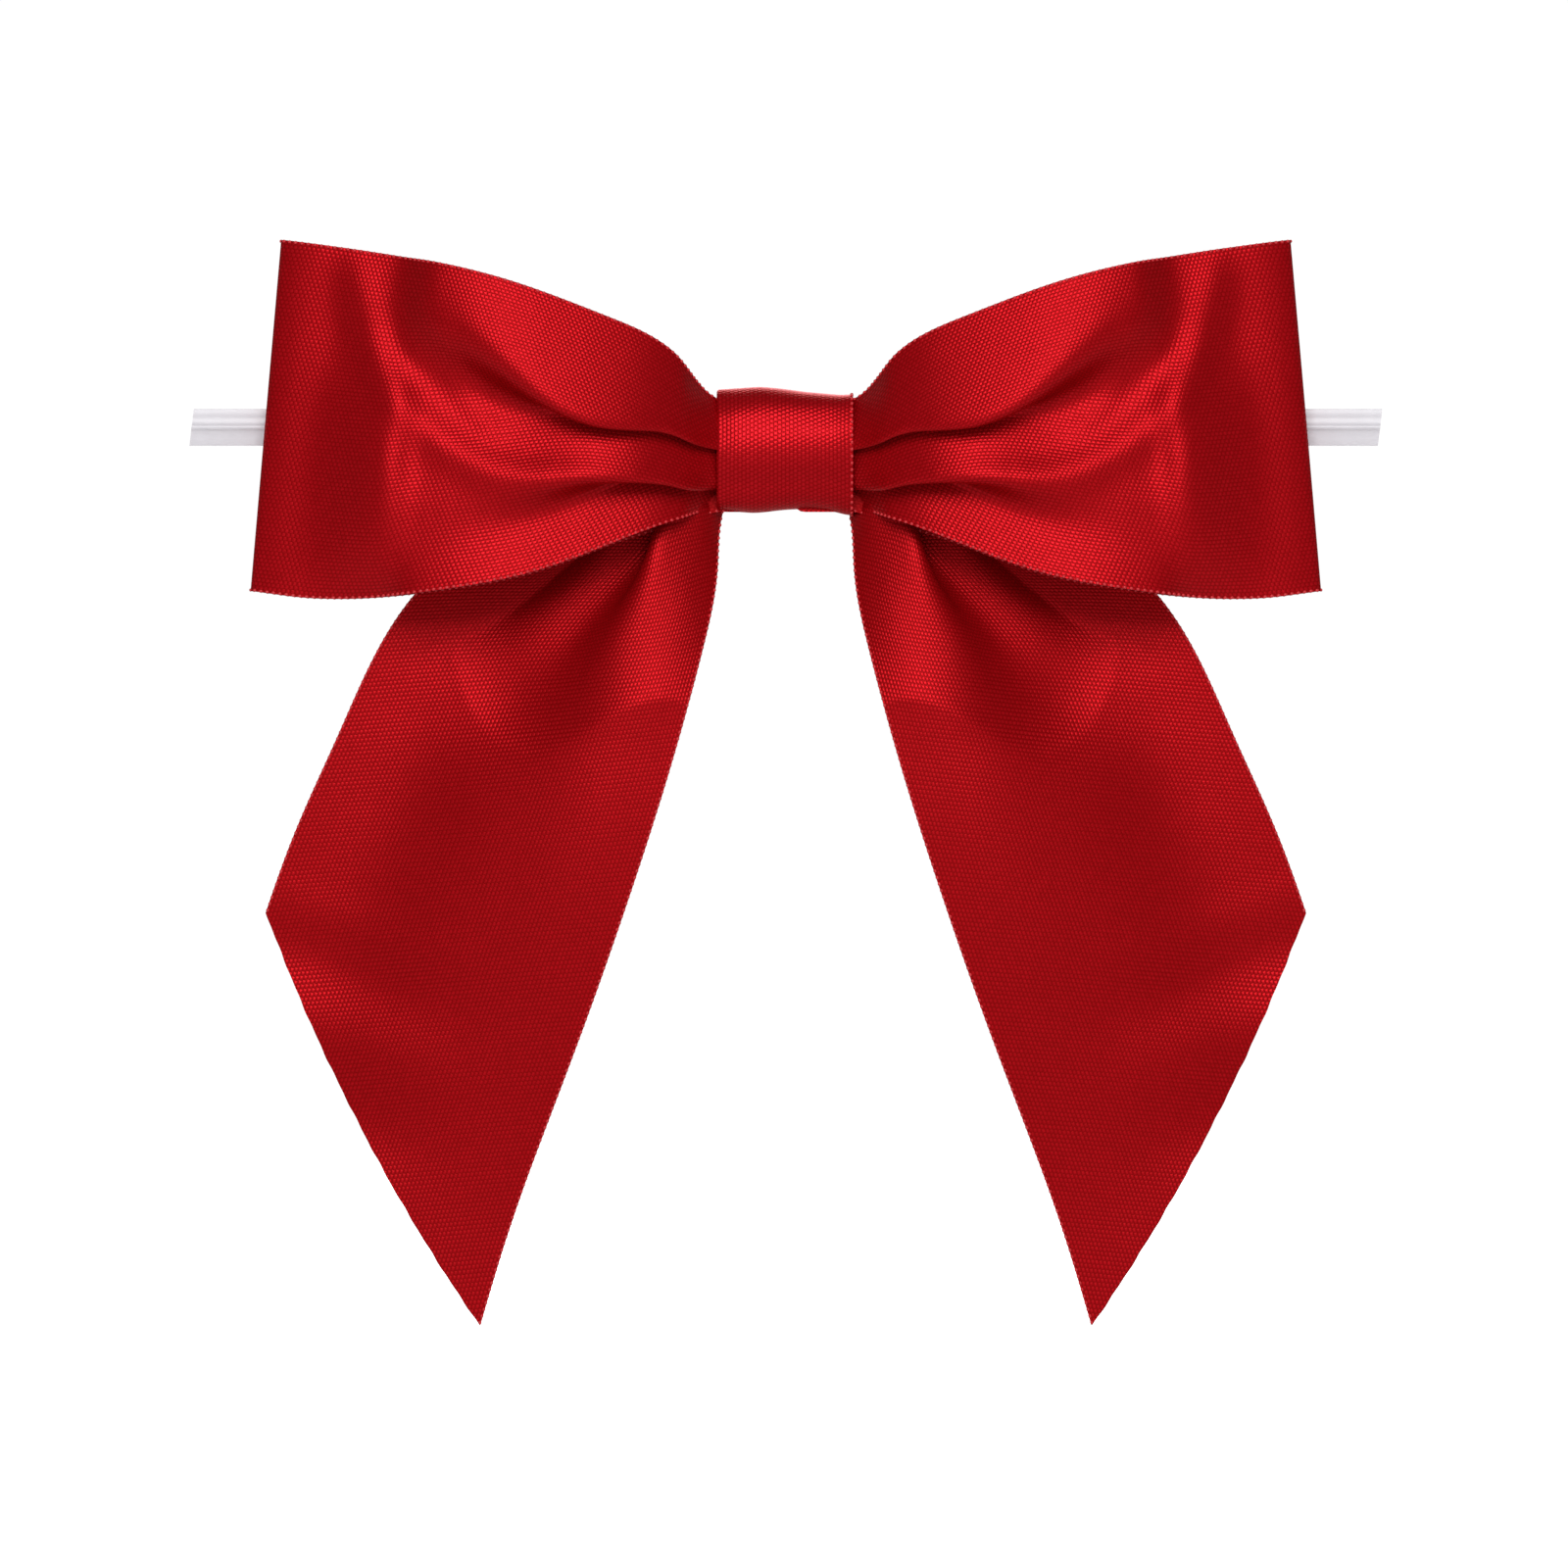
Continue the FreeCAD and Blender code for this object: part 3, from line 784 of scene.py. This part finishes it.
# ---------------------------------------------------------------- the band
def band_surface():
    """The band round the knot, its left side turned under, and its flat places."""
    path = smooth_path([
        (-0.63, 2.0), (-0.63, -2.0), (-0.66, -4.4), (-1.5, -6.1), (-3.1, -6.65), (-4.8, -6.2),
        (-6.1, -4.8), (-7.0, -2.6), (-7.45, -0.2), (-7.3, 2.4), (-6.3, 4.8), (-4.9, 6.15),
        (-3.1, 6.6), (-1.35, 6.25), (-0.32, 4.7), (-0.18, 2.4), (-0.18, 0), (-0.18, -3.0)])
    total = lengths_of(path)[-1]
    round_knot = np.linspace(0, total, 151)
    section = at_length(path, round_knot)
    heading = np.gradient(section, axis=0)
    heading /= np.linalg.norm(heading, axis=1)[:, None]
    inward = np.stack([-heading[:, 1], heading[:, 0]], -1)
    if ((section - section.mean(0)) * inward).sum() > 0:
        inward = -inward
    face_width, roll, under = 14.5, 0.28, 1.3
    turned = roll * math.pi
    width = np.concatenate([np.linspace(0, face_width, 52),
                            face_width + np.linspace(0, turned, 9)[1:],
                            face_width + turned + np.linspace(0, under, 6)[1:]])
    on_face = np.minimum(width, face_width)
    arc = np.clip(width - face_width, 0, turned) / roll
    back = np.maximum(width - face_width - turned, 0)
    reach_x = band_high[0] - 0.12 - on_face - roll * np.sin(arc) + back
    sunk = roll * (1 - np.cos(arc))
    upper_shape = np.interp(reach_x, [-7.4, -4.5, -2.8, 0, 2, 4, 6.2, 7.4],
                            [1.02, 1.05, 1.07, 1.03, 0.985, 0.96, 0.93, 0.95])
    lower_shape = np.interp(reach_x, [-7.4, -6.6, -3.4, 0, 2.5, 5.1, 6.2, 7.4],
                            [0.96, 0.965, 1.01, 0.95, 0.935, 0.97, 1.03, 1.05])
    places = np.zeros((len(section), len(width), 3))
    places[..., 0] = reach_x[None, :]
    point = section[:, None, :] + inward[:, None, :] * sunk[None, :, None]
    share = 1 / (1 + np.exp(-point[..., 1] / 1.2))
    stretch = share * soften(upper_shape, 2)[None, :] + (1 - share) * soften(
        lower_shape, 2)[None, :]
    front = ease(-point[..., 0], 3.5, 6.5)
    crease = 0.10 * np.exp(-((point[..., 1] - 3.0 - 0.10 * reach_x[None, :]) / 1.3) ** 2)
    crease += 0.25 * np.exp(-((point[..., 1] + 3.6 + 0.03 * reach_x[None, :]) / 1.5) ** 2)
    side_dip = 0.25 * np.exp(-((np.abs(reach_x) - 7.4) / 1.4) ** 2)[None, :]
    places[..., 1] = point[..., 0] + front * (crease + side_dip)
    places[..., 2] = point[..., 1] * stretch + front * 0.05 * reach_x[None, :]
    flat = np.stack(np.meshgrid(round_knot, width, indexing="ij"), -1)
    return places, flat


knot_middle_depth = -3.8
band_places, band_flat = band_surface()
band = ribbon_sheet("knot_band_ribbon", band_places, band_flat, (band_satin, dull_back),
                    outward_from(knot_middle_depth))
band_picots = picot_edge("knot_band_picots", [(band_places[8:-4, 0], band_places[8:-4, 2])],
                         picot_thread)
for piece in (band, band_picots):
    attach(piece, "knot")
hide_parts("knot_band")


# ---------------------------------------------------------------- the twist tie
tie_middle = (sleeve_low[1] + sleeve_high[1]) / 2
tie_height = (sleeve_low[2] + sleeve_high[2]) / 2
wire_radius = (box_mm("tie_wire_centre")[1][2] - box_mm("tie_wire_centre")[0][2]) / 2


def sleeve_section():
    """The sleeve end-on: two thin wings and a rib round the wire."""
    rib, wing, half = 0.375, 0.11, 2.0
    points = []
    for height in (-half, -half + 0.12, -1.2, -0.42):
        points.append((wing if height > -half else 0.05, height))
    for turn in (-50, -25, 0, 25, 50):
        points.append((rib * math.cos(math.radians(turn)), rib * math.sin(math.radians(turn))))
    for height in (0.42, 1.2, half - 0.12, half):
        points.append((wing if height < half else 0.05, height))
    return points + [(-depth, height) for depth, height in reversed(points)]


def extruded(name, section, start, end, steps, material):
    """A closed section drawn out along the tie in even steps."""
    bpy.ops.mesh.primitive_circle_add(vertices=len(section), radius=1, fill_type="NGON")
    piece = bpy.context.active_object
    piece.name = name
    for vertex, (depth, height) in zip(piece.data.vertices, section):
        vertex.co = (start * MM, (tie_middle + depth) * MM, (tie_height + height) * MM)
    bpy.ops.object.mode_set(mode="EDIT")
    bpy.ops.mesh.select_all(action="SELECT")
    for _ in range(steps):
        bpy.ops.mesh.extrude_region_move(
            TRANSFORM_OT_translate={"value": ((end - start) / steps * MM, 0, 0)})
    bpy.ops.mesh.select_all(action="SELECT")
    bpy.ops.mesh.normals_make_consistent(inside=False)
    bpy.ops.object.mode_set(mode="OBJECT")
    piece.data.materials.append(material)
    bpy.ops.object.shade_smooth_by_angle(angle=math.radians(50))
    return piece


def slanted(piece, end, slant):
    """The tie's end, cut a little off square."""
    for vertex in piece.data.vertices:
        near = 1 - min(abs(vertex.co.x - end * MM) / (1.2 * MM), 1)
        vertex.co.x += near * slant * (vertex.co.z - tie_height * MM)


wire_section = [(wire_radius * math.cos(turn), wire_radius * math.sin(turn))
                for turn in np.arange(10) * 2 * math.pi / 10]
middle_stop = 19.0           # where a side's two stretches of the tie meet
root_bend, tip_bend = 8.0, 30.0
for side, sign in (("left", -1), ("right", 1)):
    for part, start, end, bend_at in (("inner", 0.0, middle_stop, root_bend),
                                      ("outer", middle_stop, -sleeve_end, tip_bend)):
        if part == "inner":
            nodes = ["tie_%s_" + side + "_inner", "tie_%s_centre"]
        else:
            nodes = ["tie_%s_" + side + "_outer"]
        for kind, section, material, slot in (
                ("sleeve", sleeve_section(), clear_plastic, "tie_plastic"),
                ("wire", wire_section, galvanised, "tie_wire")):
            finish = end if kind == "sleeve" else end - (0.3 if part == "outer" else 0)
            piece = extruded("%s_tie_%s_%s" % (side, kind, part), section, sign * start,
                             sign * finish, 48, material)
            if part == "outer":
                slanted(piece, sign * finish, 0.12)
            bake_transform(piece)
            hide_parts(*[node % kind for node in nodes])

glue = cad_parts["band_glue"]
glue.data.materials.clear()
glue.data.materials.append(hot_melt)


def wound_thread(name, turns, radius):
    """Thread wound round the gathers, one turn beside the other."""
    bpy.ops.curve.primitive_nurbs_path_add()
    thread = bpy.context.active_object
    thread.name = name
    curve = thread.data
    curve.splines.clear()
    spline = curve.splines.new("NURBS")
    steps = 24
    bundle_middle, half_depth, half_height = -4.1, 2.45, 5.15
    spline.points.add(turns * steps)
    for index in range(turns * steps + 1):
        turn = 2 * math.pi * index / steps
        spread = (index / steps - turns / 2) * 2 * radius
        place = (spread, bundle_middle - half_depth * math.cos(turn),
                 half_height * math.sin(turn))
        spline.points[index].co = (*[value * MM for value in place], 1)
    spline.order_u = 4
    spline.use_endpoint_u = True
    curve.resolution_u = 2
    curve.bevel_depth = radius * MM
    curve.bevel_resolution = 2
    curve.use_fill_caps = True
    bpy.ops.object.convert(target="MESH")
    thread.data.materials.clear()
    thread.data.materials.append(binding)
    bpy.ops.object.shade_smooth()
    return thread


thread = wound_thread("binding_thread_turns", 5, 0.15)
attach(thread, "knot")
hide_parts("binding_thread")

# ---------------------------------------------------------------- floor, light and camera
floor_gap = 0.028
floor_height = cad_low.z - floor_gap
bpy.ops.mesh.primitive_plane_add(size=60, location=(0, 0, floor_height))
floor = bpy.context.active_object
floor.name = "floor"
floor_material, floor_nodes, floor_links, floor_shader = new_material("pale_floor")
floor_shader.inputs["Base Color"].default_value = (0.85, 0.85, 0.85, 1)
floor_shader.inputs["Roughness"].default_value = 0.9
floor_shader.inputs["Specular IOR Level"].default_value = 0.0
floor_shader.inputs["Emission Color"].default_value = (1, 1, 1, 1)
floor_seen = floor_nodes.new("ShaderNodeLightPath")
floor_glow = math_node(floor_nodes, floor_links, "MULTIPLY",
                       floor_seen.outputs["Is Camera Ray"], 0.9)
floor_links.new(floor_glow, floor_shader.inputs["Emission Strength"])
floor.data.materials.append(floor_material)


def softbox(name, place, target, size, power):
    """A square soft light that looks at a point."""
    light = bpy.data.lights.new(name, "AREA")
    light.shape = "RECTANGLE"
    light.size, light.size_y = size
    light.energy = power
    lamp = bpy.data.objects.new(name, light)
    bpy.context.scene.collection.objects.link(lamp)
    lamp.location = place
    way = np.array(target) - np.array(place)
    lamp.rotation_mode = "QUATERNION"
    lamp.rotation_quaternion = Vector(way).to_track_quat("-Z", "Y")
    return lamp


softbox("key_softbox", (0, -0.92, 0.50), (0, 0, -0.02), (0.62, 0.5), 8.2)
softbox("front_fill", (0, -1.3, 0.1), (0, 0, -0.03), (1.0, 1.0), 2.4)
softbox("back_fill", (0, 0.9, 0.5), (0, 0, -0.03), (0.8, 0.8), 6.0)

world = bpy.data.worlds.new("studio")
bpy.context.scene.world = world
world.use_nodes = True
world_nodes, world_links = world.node_tree.nodes, world.node_tree.links
world_nodes["Background"].inputs["Color"].default_value = (1, 1, 1, 1)
seen_by_camera = world_nodes.new("ShaderNodeLightPath")
strength = math_node(world_nodes, world_links, "MULTIPLY_ADD",
                     seen_by_camera.outputs["Is Camera Ray"], 0.80)
strength.node.inputs[2].default_value = 0.22
world_links.new(strength, world_nodes["Background"].inputs["Strength"])

bpy.context.scene.view_settings.view_transform = "Standard"

camera_distance = 1.0
view_width = 0.1698
view_middle = (-0.0002, -0.006, -0.0361)
sensor_width = 36
camera_data = bpy.data.cameras.new("camera")
camera_data.sensor_width = sensor_width
camera_data.lens = sensor_width * camera_distance / view_width
camera = bpy.data.objects.new("camera", camera_data)
bpy.context.scene.collection.objects.link(camera)
camera.location = (view_middle[0], -camera_distance + view_middle[1], view_middle[2])
camera.rotation_euler = (math.pi / 2, 0, 0)
bpy.context.scene.camera = camera
